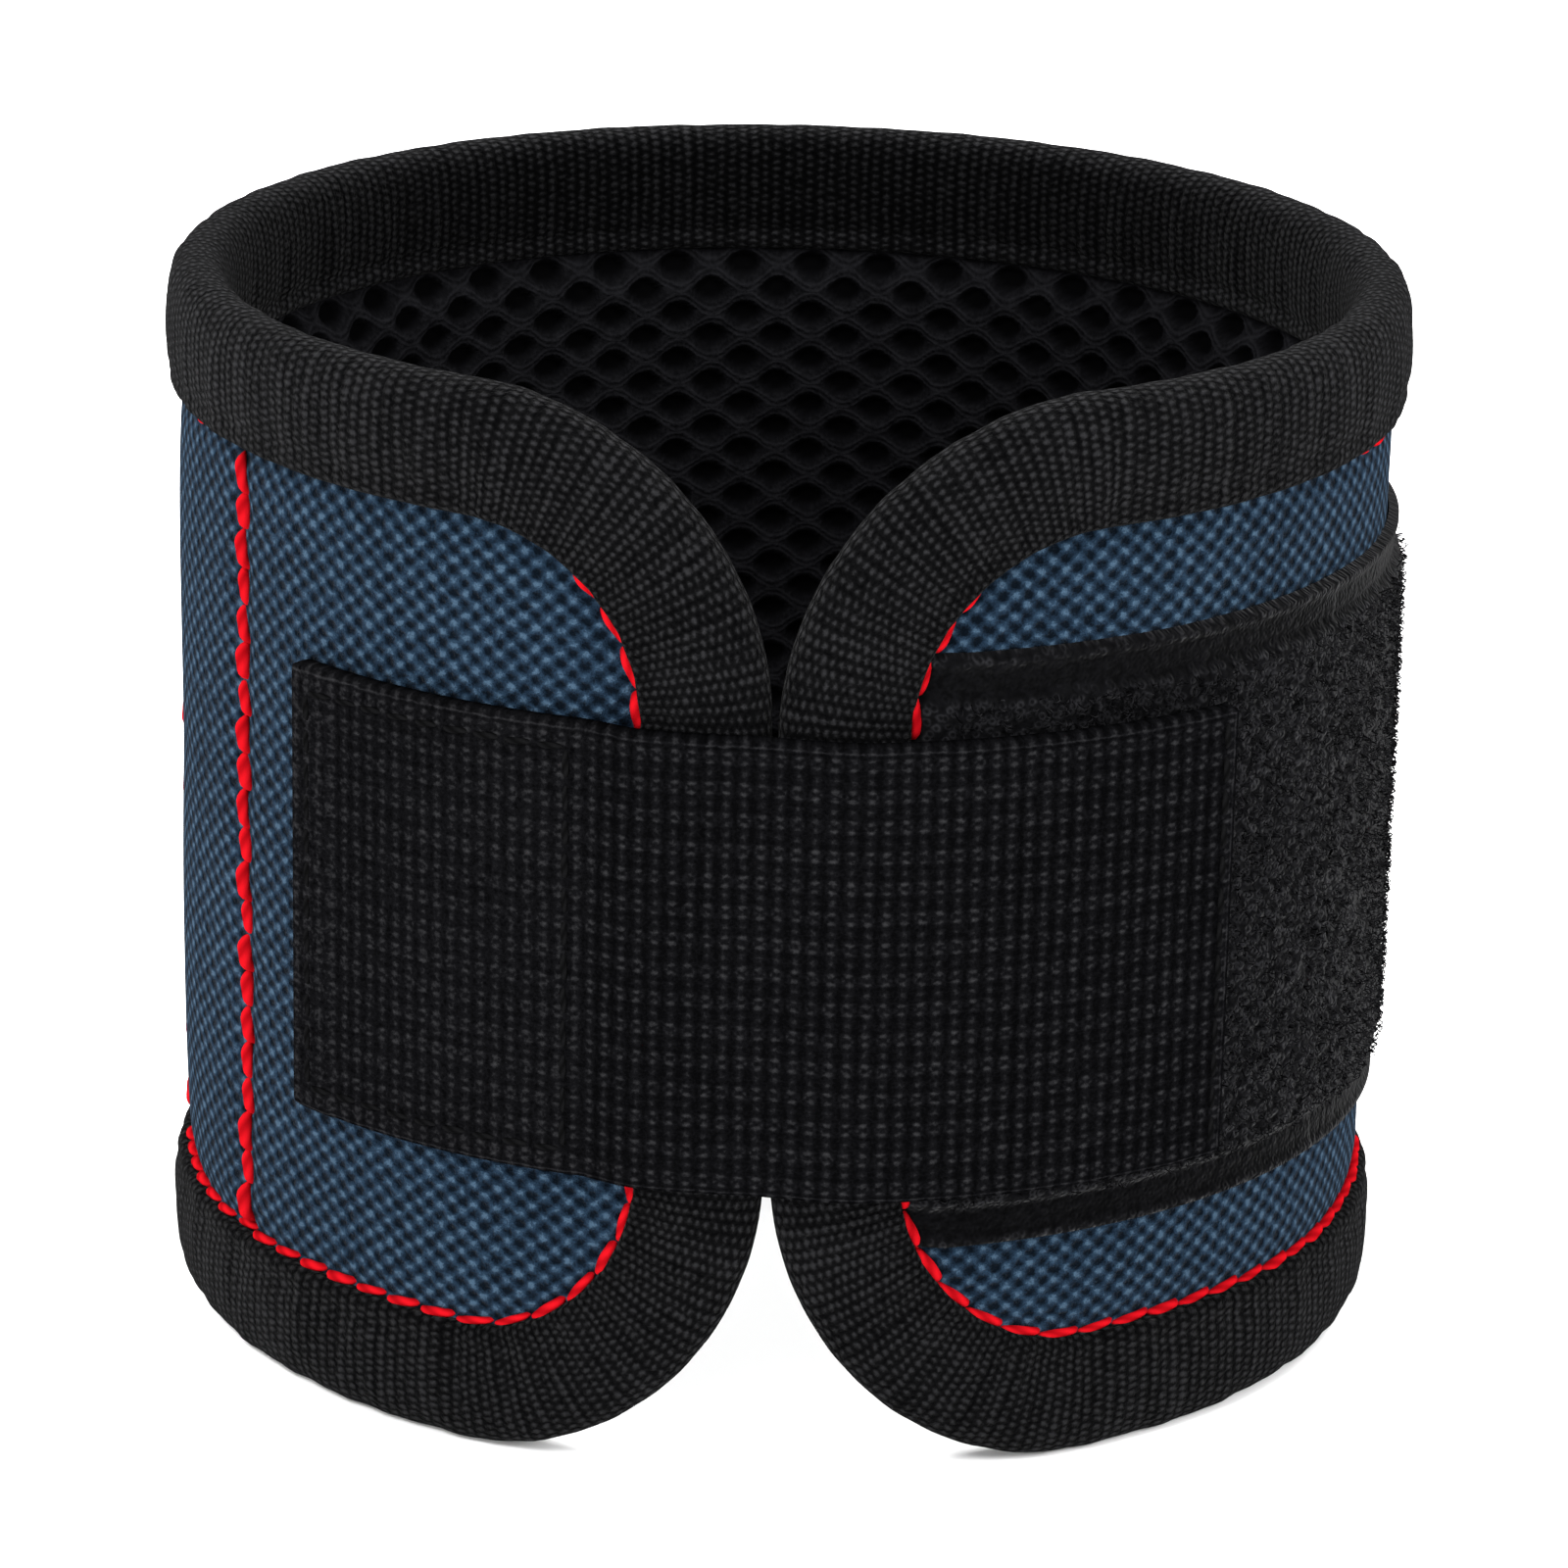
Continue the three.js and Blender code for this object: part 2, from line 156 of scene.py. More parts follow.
def edge_distance(u, v):
    found = [r - np.hypot(past, np.maximum(0, np.abs(v) - (half - r))) for past, r in end_corners(u)]
    return np.minimum(*found)


class Edge:
    """The upper half of the band's outline, drawn in by an inset, from the loop tip to the strap tip."""

    def __init__(self, inset):
        self.inset = inset
        self.loop = LOOP_RADIUS - inset
        self.strap = STRAP_RADIUS - inset
        straight = LENGTH - LOOP_RADIUS - STRAP_RADIUS
        quarters = self.loop * np.pi / 2, self.strap * np.pi / 2
        runs = [half - LOOP_RADIUS, quarters[0], straight, quarters[1], half - STRAP_RADIUS]
        self.starts = np.concatenate([[0], np.cumsum(runs)])
        self.length = self.starts[-1]

    def run_at(self, u):
        if u < LOOP_RADIUS:
            return self.starts[1] + self.loop * math.acos(min(1, (LOOP_RADIUS - u) / self.loop))
        if u < LENGTH - STRAP_RADIUS:
            return self.starts[2] + u - LOOP_RADIUS
        return self.starts[3] + self.strap * math.asin(min(1, (u - LENGTH + STRAP_RADIUS) / self.strap))

    def at(self, s):
        """Points (u, v) at distances s, negative on the lower half, and directions into the band."""
        s = np.asarray(s, float)
        side = np.where(s < 0, -1.0, 1.0)
        s = np.abs(s)
        part = np.clip(np.searchsorted(self.starts, s, side="right") - 1, 0, 4)
        x = s - self.starts[part]
        a = np.where(part == 1, x / self.loop, x / self.strap)
        zero = np.zeros_like(s)
        parts = [part == i for i in range(5)]
        u = np.select(parts, [
            zero + self.inset,
            LOOP_RADIUS - self.loop * np.cos(a),
            LOOP_RADIUS + x,
            LENGTH - STRAP_RADIUS + self.strap * np.sin(a),
            zero + LENGTH - self.inset,
        ])
        v = np.select(parts, [
            x,
            half - LOOP_RADIUS + self.loop * np.sin(a),
            zero + half - self.inset,
            half - STRAP_RADIUS + self.strap * np.cos(a),
            half - STRAP_RADIUS - x,
        ])
        into_u = np.select(parts, [zero + 1, np.cos(a), zero, -np.sin(a), zero - 1])
        into_v = np.select(parts, [zero, -np.sin(a), zero - 1, -np.cos(a), zero])
        return np.stack([u, side * v], -1), np.stack([into_u, side * into_v], -1)


# Materials, all from shader nodes. The cloth attribute holds places on the flat cloth, in millimetres.
LIGHT = 2.3
SHEEN_ROUGHNESS = 0.4
DRIFT_PER_MM = 0.7


def seen(*rgb):
    """The colour of a surface that looks like rgb, of 255, in this light."""
    shares = [c / 255 for c in rgb]
    linear = [((c + 0.055) / 1.055) ** 2.4 if c > 0.04 else c / 12.92 for c in shares]
    return tuple(c / LIGHT for c in linear) + (1.0,)


class Shader:
    def __init__(self, name):
        self.material = bpy.data.materials.new(name)
        self.material.use_nodes = True
        self.tree = self.material.node_tree
        self.surface = self.tree.nodes["Principled BSDF"]

    def node(self, kind, **settings):
        made = self.tree.nodes.new(kind)
        for key, value in settings.items():
            setattr(made, key, value)
        return made

    def put(self, socket, value):
        if isinstance(value, bpy.types.NodeSocket):
            self.tree.links.new(value, socket)
        else:
            socket.default_value = value

    def math(self, operation, *values):
        made = self.node("ShaderNodeMath", operation=operation)
        for socket, value in zip(made.inputs, values):
            self.put(socket, value)
        return made.outputs[0]

    def attribute(self, name):
        return self.node("ShaderNodeAttribute", attribute_name=name)

    def place(self, wander):
        """Places x and y on the cloth, wandering by some millimetres as threads do."""
        drift = self.node("ShaderNodeVectorMath", operation="MULTIPLY_ADD")
        self.put(drift.inputs[0], self.noise_node(DRIFT_PER_MM).outputs["Color"])
        drift.inputs[1].default_value = (2 * wander,) * 3
        self.put(drift.inputs[2], self.attribute("cloth").outputs["Vector"])
        split = self.node("ShaderNodeSeparateXYZ")
        self.put(split.inputs[0], drift.outputs[0])
        return split.outputs[0], split.outputs[1]

    def cell(self, x, pitch):
        """How far x is from the nearest whole number of pitches."""
        return self.math("WRAP", x, pitch / 2, -pitch / 2)

    def near(self, value, at, reach):
        """1 where the value is there, falling to 0 at a distance of reach."""
        fall = self.node("ShaderNodeMapRange", interpolation_type="SMOOTHSTEP")
        away = self.math("ABSOLUTE", self.math("SUBTRACT", value, at))
        for socket, given in zip(fall.inputs, (away, 0.0, reach, 1.0, 0.0)):
            self.put(socket, given)
        return fall.outputs[0]

    def scaled(self, colour, share):
        made = self.node("ShaderNodeVectorMath", operation="SCALE")
        self.put(made.inputs[0], colour)
        self.put(made.inputs["Scale"], share)
        return made.outputs[0]

    def wave(self, x, pitch):
        return self.math("COSINE", self.math("MULTIPLY", x, 2 * math.pi / pitch))

    def noise_node(self, scale, detail=2.0, stretch=(1, 1, 1)):
        mapping = self.node("ShaderNodeMapping")
        self.put(mapping.inputs["Vector"], self.attribute("cloth").outputs["Vector"])
        mapping.inputs["Scale"].default_value = stretch
        made = self.node("ShaderNodeTexNoise")
        self.put(made.inputs["Vector"], mapping.outputs[0])
        made.inputs["Scale"].default_value = scale
        made.inputs["Detail"].default_value = detail
        return made

    def noise(self, *settings):
        """Noise about zero."""
        return self.math("SUBTRACT", self.noise_node(*settings).outputs[0], 0.5)

    def total(self, *terms):
        """The sum of (value, share) pairs."""
        value = 0.0
        for term, share in terms:
            value = self.math("MULTIPLY_ADD", term, share, value)
        return value

    def ramp(self, value, *stops):
        made = self.node("ShaderNodeValToRGB")
        self.put(made.inputs[0], value)
        points = made.color_ramp.elements
        while len(points) < len(stops):
            points.new(0.5)
        for point, (at, colour) in zip(points, stops):
            point.position = at
            point.color = colour
        return made.outputs[0]

    def bump(self, height, distance):
        made = self.node("ShaderNodeBump")
        made.inputs["Strength"].default_value = 1.0
        made.inputs["Distance"].default_value = distance
        self.put(made.inputs["Height"], height)
        self.put(self.surface.inputs["Normal"], made.outputs[0])

    def finish(self, colour, roughness, sheen=0.0):
        self.put(self.surface.inputs["Base Color"], colour)
        self.surface.inputs["Roughness"].default_value = roughness
        self.surface.inputs["Specular IOR Level"].default_value = 0.0
        self.surface.inputs["Sheen Weight"].default_value = sheen
        self.surface.inputs["Sheen Roughness"].default_value = SHEEN_ROUGHNESS
        return self.material


def knobs(shader, x, y):
    """Staggered knobs, as crossing threads make them."""
    return shader.math("MULTIPLY", shader.wave(x, KNOBS[0]), shader.wave(y, KNOBS[1]))


def ribs(shader, x, y):
    """Ribs across the tape with bumps along them, staggered from rib to rib."""
    bumps = shader.math("MULTIPLY", shader.wave(x, 2 * TAPE_RIB), shader.wave(y, TAPE_BUMP))
    return shader.total((shader.wave(x, TAPE_RIB), 0.42), (bumps, 0.58))


def woven(name, pattern, stops, depth, unevenness, streaky):
    """Uneven cloth with a pattern of threads, streaky along and across, darker where shade is under 1."""
    shader = Shader(name)
    relief = pattern(shader, *shader.place(CLOTH_WANDER))
    streaks = shader.noise(1.0, 1.0, (0.06, 1.3, 1)), shader.noise(1.0, 1.0, (1.3, 0.06, 1))
    level = shader.total(
        (relief, 0.5), (shader.noise(1.0), unevenness), (shader.noise(2.6), unevenness),
        (shader.noise(6.0), 0.7 * unevenness), (shader.noise(0.06, 3.0), 0.25 * unevenness),
        (streaks[0], streaky[0]), (streaks[1], streaky[1]), (1.0, 0.5),
    )
    shader.bump(level, depth)
    shade = shader.attribute("shade").outputs["Fac"]
    return shader.finish(shader.scaled(shader.ramp(level, *stops), shade), 0.8, 0.02)


shell_cloth = woven(
    "oxford_cloth", knobs,
    [
        (0.12, seen(13, 21, 30)), (0.45, seen(31, 47, 64)),
        (0.75, seen(46, 67, 88)), (1.0, seen(78, 103, 126)),
    ],
    0.0004, 0.7, (0.25, 0.25),
)
binding_tape = woven(
    "ribbed_tape", ribs,
    [(0.1, seen(8, 8, 9)), (0.5, seen(19, 19, 20)), (1.0, seen(50, 50, 52))],
    0.0003, 0.7, (0.2, 0.55),
)


def plain(name, colour, roughness, metal=0.0):
    shader = Shader(name)
    shader.surface.inputs["Metallic"].default_value = metal
    return shader.finish(colour, roughness)


def thread(name, dark, light, roughness):
    """Twisted thread, with painted shade in the twists. The shade attribute is 0 in a twist and 1 on a
    strand.
    """
    shader = Shader(name)
    shade = shader.attribute("shade").outputs["Fac"]
    return shader.finish(shader.ramp(shade, (0.0, dark), (1.0, light)), roughness)


def looped_pile(name, stops, roughness, grain, depth):
    """Pile of small loops, coloured by its shade attribute."""
    shader = Shader(name)
    shade = shader.attribute("shade").outputs["Fac"]
    cells = shader.node("ShaderNodeTexVoronoi", voronoi_dimensions="2D")
    shader.put(cells.inputs["Vector"], shader.attribute("cloth").outputs["Vector"])
    cells.inputs["Scale"].default_value = LOOPS_PER_MM
    loops = shader.math("MULTIPLY", shader.near(cells.outputs["Distance"], 0.3, 0.3), shade)
    fibre = shader.noise(1.4, 1.0)
    level = shader.total((loops, 0.6), (fibre, grain), (shader.noise(0.4), 0.6 * grain), (shade, 0.7))
    shader.bump(level, depth)
    return shader.finish(shader.ramp(level, *stops), roughness, 0.06)


def spacer_mesh(name, stops):
    """Filaments that wind in pairs between the holes, which the shade attribute makes dark as painted shade.
    """
    shader = Shader(name)
    x, y = shader.place(MESH_WANDER)
    row = shader.math("ABSOLUTE", shader.cell(y, 2 * HOLE_ROWS))
    winding = shader.total((shader.wave(x, HOLE_PITCH), HOLE_ROWS / 3), (1.0, HOLE_ROWS / 2))
    aside = shader.math("ABSOLUTE", shader.math("SUBTRACT", row, winding))
    filament = shader.near(aside, 0.28, 0.32)
    light = shader.total((filament, 0.3), (shader.noise(0.8), 0.7), (shader.noise(3.0), 0.6), (1.0, 0.55))
    level = shader.math("MULTIPLY", light, shader.attribute("shade").outputs["Fac"])
    shader.bump(level, 0.0003)
    return shader.finish(shader.ramp(level, *stops), 0.7)


def looped_webbing(name, stops):
    """Columns of small loops in rows, ruffled where the shade attribute is 0."""
    shader = Shader(name)
    x, y = shader.place(WEBBING_WANDER)
    column = shader.cell(x, WEBBING_COLUMN)
    row = shader.cell(y, WEBBING_ROW)
    aside = shader.math("ABSOLUTE", column)
    above = shader.math("ABSOLUTE", row)
    dash = shader.math("MULTIPLY", shader.near(above, 0.38, 0.36), shader.near(column, 0.0, 0.75))
    sides = shader.math("MULTIPLY", shader.near(aside, 0.42, 0.3), shader.near(row, 0.0, 0.5))
    stem = shader.near(column, 0.0, 0.55)
    halfway = shader.near(shader.cell(shader.math("ADD", y, WEBBING_ROW / 2), WEBBING_ROW), 0.0, 0.4)
    between = shader.math("MULTIPLY", stem, halfway)
    picked = shader.math("MULTIPLY_ADD", shader.noise(1.1), 1.8, 0.9)
    outline = shader.math("MAXIMUM", dash, shader.math("MULTIPLY", sides, 0.6))
    looped = shader.total((shader.math("MULTIPLY", outline, picked), 0.5), (stem, 0.2), (between, 0.26))
    ruffled = shader.total((looped, 0.6), (shader.noise(1.3), 0.7), (shader.noise(2.4), 0.6), (1.0, 0.2))
    shade = shader.attribute("shade").outputs["Fac"]
    from_side = shader.math("SUBTRACT", STRAP_HALF, shader.math("ABSOLUTE", y))
    from_edge = shader.math("MINIMUM", from_side, shader.math("SUBTRACT", STRAP_END, x))
    edge_thread = shader.near(from_edge, 0.45, 0.22)
    woven_part = shader.math("MULTIPLY_ADD", shader.math("SUBTRACT", looped, ruffled), shade, ruffled)
    level = shader.total(
        (woven_part, 1.0), (edge_thread, 0.35), (shader.noise(1.6), 0.55), (shader.noise(4.0), 0.6),
        (shader.noise(0.15), 0.15), (1.0, 0.04),
    )
    shader.bump(level, 0.0003)
    return shader.finish(shader.ramp(level, *stops), 0.65)


red_thread = thread("red_thread", seen(150, 6, 14), seen(238, 24, 36), 0.5)
black_thread = thread("black_thread", seen(6, 6, 6), seen(24, 24, 25), 0.6)
mesh_cloth = spacer_mesh(
    "spacer_mesh", [(0.0, seen(8, 8, 9)), (0.5, seen(20, 20, 22)), (1.0, seen(38, 38, 41))],
)
pile_cloth = looped_pile(
    "loop_pile", [(0.1, seen(9, 9, 10)), (0.5, seen(20, 20, 22)), (0.9, seen(50, 50, 53))],
    0.95, 0.8, 0.0003,
)
webbing_cloth = looped_webbing(
    "webbing", [(0.0, seen(8, 8, 9)), (0.35, seen(20, 20, 22)), (0.9, seen(56, 56, 58))],
)
curl_fibre = thread("pile_fibre", seen(9, 9, 10), seen(48, 48, 50), 0.7)
hook_plastic = plain("hook_plastic", seen(20, 20, 20), 0.45)
nickel = plain("nickel_plate", seen(190, 192, 196), 0.25, metal=1.0)


# Meshes
def grid_faces(lines, columns, closed=False, inward=False):
    i = np.arange(lines - 1)[:, None]
    j = np.arange(columns if closed else columns - 1)[None, :]
    k = (j + 1) % columns
    corners = [i * columns + j, (i + 1) * columns + j, (i + 1) * columns + k, i * columns + k]
    faces = np.stack(corners, -1).reshape(-1, 4)
    return faces[:, ::-1] if inward else faces


def slab_faces(lines, columns):
    """A closed slab: each line of points runs across its top and back across its underside."""
    i = np.arange(columns - 1)
    cap = np.stack([i, i + 1, 2 * columns - 2 - i, 2 * columns - 1 - i], -1)
    far = cap[:, ::-1] + (lines - 1) * 2 * columns
    return np.concatenate([grid_faces(lines, 2 * columns, closed=True), cap, far])


def make(name, flat, faces, cloth, shade, material):
    flat = np.asarray(flat, float).reshape(-1, 3)
    faces = np.asarray(faces, np.int32)
    mesh = bpy.data.meshes.new(name)
    mesh.vertices.add(len(flat))
    mesh.vertices.foreach_set("co", wrap(flat).astype(np.float32).ravel())
    mesh.loops.add(faces.size)
    mesh.loops.foreach_set("vertex_index", faces.ravel())
    mesh.polygons.add(len(faces))
    mesh.polygons.foreach_set("loop_start", np.arange(0, faces.size, faces.shape[1], dtype=np.int32))
    mesh.update(calc_edges=True)
    mesh.validate()
    mesh.shade_smooth()
    places = np.zeros((len(flat), 3), np.float32)
    places[:, :2] = np.asarray(cloth, float).reshape(-1, 2)
    mesh.attributes.new("cloth", "FLOAT_VECTOR", "POINT").data.foreach_set("vector", places.ravel())
    shades = np.broadcast_to(np.asarray(shade, np.float32).ravel(), len(flat)).astype(np.float32)
    mesh.attributes.new("shade", "FLOAT", "POINT").data.foreach_set("value", shades)
    mesh.materials.append(material)
    obj = bpy.data.objects.new(name, mesh)
    bpy.context.scene.collection.objects.link(obj)
    return obj


def joined(parts):
    """Several (flat, faces, cloth, shade) as one."""
    base = np.cumsum([0] + [len(p[0]) for p in parts])
    faces = np.concatenate([p[1] + b for p, b in zip(parts, base)])
    flat, cloth = (np.concatenate([p[i] for p in parts]) for i in (0, 2))
    shade = np.concatenate([np.broadcast_to(p[3], len(p[0])) for p in parts])
    return flat, faces, cloth, shade


# The cloth is cut across the middle of every panel but the outer two, so that each length of it holds one
# fold.
# It runs on a little under the next length, where they part.
cuts = [0.0] + [(a + b) / 2 for a, b in zip(folds, folds[1:])] + [LENGTH]
lengths = list(zip(cuts, cuts[1:]))
last_length = len(lengths) - 1
FLAP = 4.0
FLAP_START = 0.3


def follow(obj):
    """Bakes a length of cloth's placement into its mesh."""
    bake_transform(obj)


def spaced(start, end, step):
    return np.linspace(start, end, max(2, int(math.ceil((end - start) / step)) + 1))


def with_flap(low, high, step, flap):
    """Places along a length of cloth and its flap, if it has one, and 1 for those on the flap."""
    along = spaced(low, high, step)
    if flap:
        along = np.concatenate([along, spaced(high + FLAP_START, high + FLAP, step)])
    return along, (along > high).astype(float)[:, None]


# Outer cloth: it swells between the rows of stitches and is drawn down along every seam.
SEAM_LINE = 10.7
SEAM_PULL = 0.35
SEAM_SPREAD = 1.3
ROW_PULL = 0.65
ROW_SPREAD = 1.4
PUCKER_PITCH = 5.8
POCKET_SWELL = 0.5
RIPPLE = 0.12
SHELL_PROUD = 0.15
SHELL_INSET = 6.0
SHELL_STEP = 1.0
SHELL_COLUMNS = 81
SHELL_TUCK = 0.08


def shell_depth(u, v):
    swell = np.zeros_like(u)
    for a, b in zip(rows, rows[1:]):
        share = np.clip((u - a) / (b - a), 0, 1)
        crown = np.clip(1 - (v / (half - SEAM_LINE)) ** 4, 0, 1)
        swell += POCKET_SWELL * np.sin(np.pi * share) * crown
    drawn = SEAM_PULL * np.exp(-(((edge_distance(u, v) - SEAM_LINE) / SEAM_SPREAD) ** 2))
    for row in rows:
        pull = 0.75 + 0.25 * np.cos(2 * np.pi * v / PUCKER_PITCH)
        drawn += ROW_PULL * pull * np.exp(-(((u - row) / ROW_SPREAD) ** 2))
    ripple = RIPPLE * np.sin(u * 0.21 + 1.1 * np.sin(v * 0.09)) * np.sin(v * 0.16 + 0.7)
    return SHELL_DEPTH - SHELL_PROUD - swell + drawn + ripple


for k, (start, end) in enumerate(lengths):
    low, high = max(start, SHELL_INSET), min(end, LENGTH - SHELL_INSET)
    us, tucked = with_flap(low, high, SHELL_STEP, k < last_length)
    across = np.linspace(-1, 1, SHELL_COLUMNS)
    u = np.repeat(us[:, None], len(across), 1)
    v = half_width(u, SHELL_INSET) * across
    flat = np.stack([u, v, shell_depth(u, v) + SHELL_TUCK * tucked], -1)
    piece = make(f"shell_cloth_{k}", flat, grid_faces(*u.shape), np.stack([u, v], -1), 1, shell_cloth)
    follow(piece)
    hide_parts(f"shell_{k + 2}")
    if k == 0:
        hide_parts("shell_1")
    halves = half_width(us, SHELL_INSET)

# Binding: a tape rolled over the edge, sewn down along both of its own edges.
TAPE_SECTION = [
    (10.45, 1.5), (10.6, 0.8), (10.4, 0.15), (9.5, -0.1), (8.7, -0.02), (7.4, -0.28), (5.0, -0.35),
    (2.7, -0.2), (1.1, 0.3), (0.25, 1.15), (0.0, 2.35), (0.25, 3.55), (1.0, 4.4), (2.4, 4.85),
    (4.4, 5.05), (6.6, 5.0), (8.5, 4.85), (9.1, 4.5), (9.5, 4.75), (10.5, 4.7), (11.0, 4.1),
]


def rounded(points, count):
    """A smooth line through points, evenly spaced."""
    p = np.asarray(points, float)
    p = np.concatenate([[2 * p[0] - p[1]], p, [2 * p[-1] - p[-2]]])
    t = np.linspace(0, 1, 12, endpoint=False)[:, None]
    line = []
    for a, b, c, d in zip(p, p[1:], p[2:], p[3:]):
        bend = 2 * a - 5 * b + 4 * c - d
        twist = 3 * b - a - 3 * c + d
        line.append(b + 0.5 * ((c - a) * t + bend * t**2 + twist * t**3))
    line = np.concatenate(line + [p[-2:-1]])
    run = np.concatenate([[0], np.cumsum(np.linalg.norm(np.diff(line, axis=0), axis=1))])
    even = np.linspace(0, run[-1], count)
    return np.stack([np.interp(even, run, line[:, i]) for i in (0, 1)], -1), even


PUCKER = 0.1
TAPE_MIDDLE = np.array([5.5, 2.3])
TAPE_POINTS = 52
TAPE_STEP = 1.0
TAPE_TUCK = 0.04
SEAM_SHADE = 0.25
INNER_PAINTED_SHADE = 0.45
LOWER_HALF_PAINTED_SHADE = 0.93
JUST_BELOW = 1e-9
tape_line, tape_run = rounded(TAPE_SECTION, TAPE_POINTS)
tape_share = np.linspace(0, 1, len(tape_line))
outline = Edge(0)

# The tape is darker beside the seam, and darker still on the inner face as painted shade, up to that face's
# edge
tape_shade = 1.0 - SEAM_SHADE * (1 - smooth(tape_run, 1.5, 3.5)) - INNER_PAINTED_SHADE * smooth(tape_run, 14.0, 17.0)
tape_shade += INNER_PAINTED_SHADE * smooth(tape_run, tape_run[-1] - 2.6, tape_run[-1] - 1.8)


def tape_part(s, tucked):
    """The tape at distances s along the edge, negative on the lower half."""
    at, into = outline.at(s)
    run, side = np.abs(s), np.sign(s)
    section = TAPE_MIDDLE + (tape_line - TAPE_MIDDLE) * (1 - TAPE_TUCK * tucked[..., None])
    flat = np.empty((len(s), len(tape_line), 3))
    flat[..., :2] = at[:, None] + into[:, None] * section[..., :1]
    wave = np.sin(run * 0.93) + 0.8 * np.sin(run * 1.67 + side) + 0.6 * np.sin(run * 0.39 + 2 * side)
    flat[..., 2] = section[..., 1] + PUCKER * wave[:, None] * np.sin(3 * np.pi * tape_share)
    cloth = np.stack(np.broadcast_arrays(s[:, None], tape_run[None, :]), -1)
    faces = grid_faces(*flat.shape[:2])
    return flat.reshape(-1, 3), faces, cloth.reshape(-1, 2), np.tile(tape_shade, len(s))


for k, (start, end) in enumerate(lengths):
    low = 0 if k == 0 else outline.run_at(start)
    high = outline.length if k == last_length else outline.run_at(end)
    s, tucked = with_flap(low, high, TAPE_STEP, k < last_length)
    upper = tape_part(s, tucked)
    lower = tape_part(-np.maximum(s, JUST_BELOW), tucked)
    # Painted shade: the lower half of the tape is a little darker
    lower = (lower[0], lower[1][:, ::-1], lower[2], LOWER_HALF_PAINTED_SHADE * lower[3])
    piece = make(f"binding_tape_{k}", *joined([upper, lower]), binding_tape)
    follow(piece)
    if k == 0:
        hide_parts("binding_loop_end")
    if k < last_length:
        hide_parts(f"binding_top_{k + 2}", f"binding_bottom_{k + 2}")
    else:
        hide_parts("binding_strap_end")

# Lining: spacer mesh with staggered holes, pointed at both ends.
HOLE_SIZE = (1.65, 1.02)
HOLE_POINT = 1.6
HOLE_DEPTH = 0.9
HOLE_RIM = (0.75, 1.12)
HOLES_FROM_EDGE = (11.0, 12.0)
STRAND_RISE = 0.22
LINING_SLOPE = (10.6, 15.0)
LINING_INSET = 9.6
MESH_STEP = 0.38
MESH_COLUMNS = 187
LINING_TUCK = 0.12


def hole_distance(u, v):
    """0 in the middle of a hole and 1 on its rim."""
    nearest = np.full(u.shape, 9.0)
    for shift in (0.0, 0.5):
        x = np.abs((u / HOLE_PITCH + shift + 0.5) % 1 - 0.5) * HOLE_PITCH / HOLE_SIZE[0]
        y = np.abs((v / (2 * HOLE_ROWS) + shift + 0.5) % 1 - 0.5) * 2 * HOLE_ROWS / HOLE_SIZE[1]
        nearest = np.minimum(nearest, (x**HOLE_POINT + y**HOLE_POINT) ** (1 / HOLE_POINT))
    return nearest


for k, (start, end) in enumerate(lengths):
    low, high = max(start, LINING_INSET), min(end, LENGTH - LINING_INSET)
    us, tucked = with_flap(low, high, MESH_STEP, k < last_length)
    across = np.linspace(-1, 1, MESH_COLUMNS)
    u = np.repeat(us[:, None], len(across), 1)
    v = half_width(u, LINING_INSET) * across
    edge = edge_distance(u, v)
    inside = smooth(edge, *HOLES_FROM_EDGE)
    hole = hole_distance(u, v)
    strand = smooth(hole, *HOLE_RIM)
    body = LINING_THIN + (LINING_FULL - LINING_THIN) * smooth(edge, *LINING_SLOPE)
    d = body - inside * HOLE_DEPTH * (1 - strand) + STRAND_RISE * np.clip(hole - 1, 0, 0.6)
    flat = np.stack([u, v, d - LINING_TUCK * tucked], -1)
    faces = grid_faces(*u.shape, inward=True)
    # Painted shade: the holes are coloured dark
    shade = 1 - inside * (1 - strand)
    piece = make(f"mesh_lining_{k}", flat, faces, np.stack([u, v], -1), shade, mesh_cloth)
    follow(piece)
    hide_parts(f"lining_{k + 2}")
    if k == 0:
        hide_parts("lining_1")


# Stitches: plump twisted lengths of thread that dive into the cloth at both ends
STITCH_GRID = (11, 10)
STITCH_TWIST = 2.6


